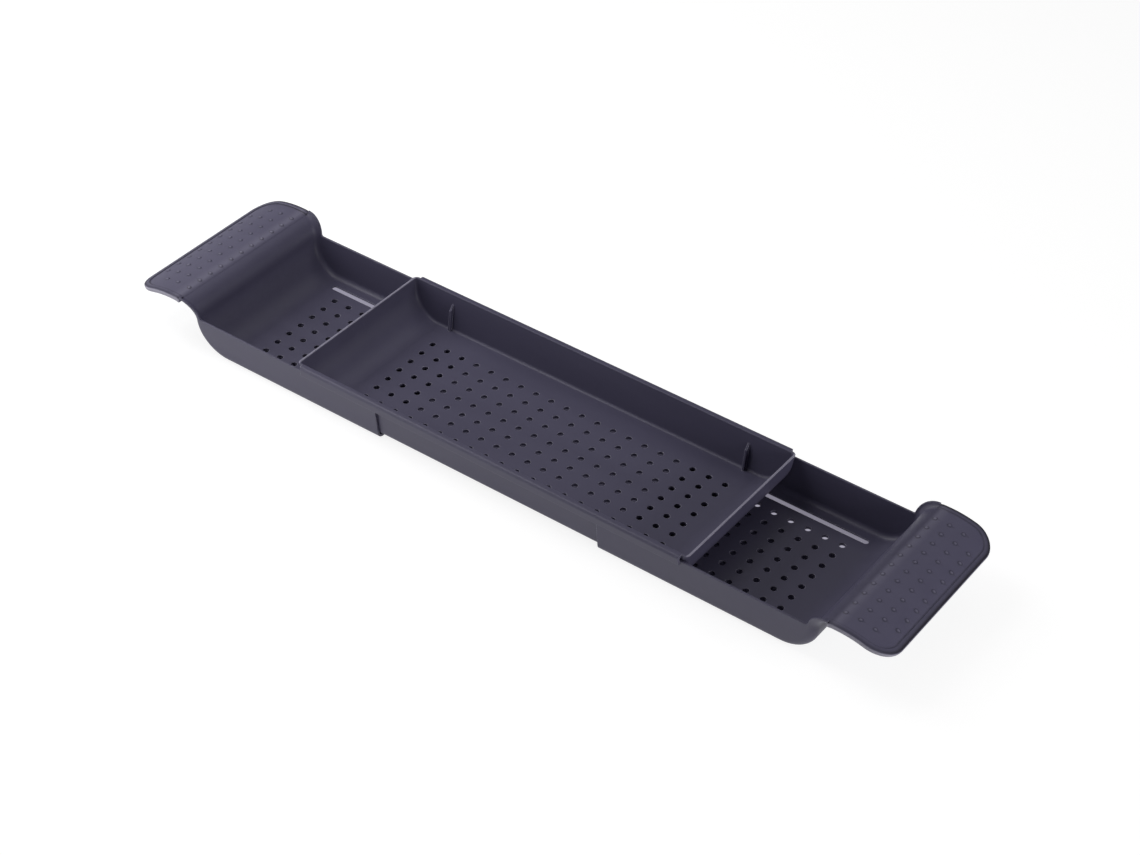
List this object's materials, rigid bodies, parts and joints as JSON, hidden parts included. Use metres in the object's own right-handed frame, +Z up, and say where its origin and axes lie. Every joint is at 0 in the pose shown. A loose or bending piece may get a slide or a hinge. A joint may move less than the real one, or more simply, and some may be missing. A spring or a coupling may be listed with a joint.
{
  "type": "bath caddy",
  "caption": "Extending bath caddy: a drained centre tray with two sliding end trays whose wings rest on the bath's rims in soft pimpled grips.",
  "frame": {"origin": "on the ground under the middle of the caddy, at the height of the end trays' undersides", "axes": "+X across the bath along the slides, +Y along the bath, +Z up"},
  "size_m": [0.7086, 0.159, 0.0499],
  "materials": {
    "tray_plastic": "satin injection-moulded polypropylene, dark aubergine grey",
    "grip_rubber": "matte moulded thermoplastic elastomer, dark aubergine grey"
  },
  "bodies": {
    "centre": {"centre_tray": "tray_plastic"},
    "left_end": {"left_end_tray": "tray_plastic", "left_grip": "grip_rubber"},
    "right_end": {"right_end_tray": "tray_plastic", "right_grip": "grip_rubber"}
  },
  "joints": [
    {"name": "left_slide", "type": "slide", "parent": "centre", "child": "left_end", "axis": [-1, 0, 0], "range_m": [-0.103, 0.035]},
    {"name": "right_slide", "type": "slide", "parent": "centre", "child": "right_end", "axis": [1, 0, 0], "range_m": [-0.103, 0.035]}
  ]
}
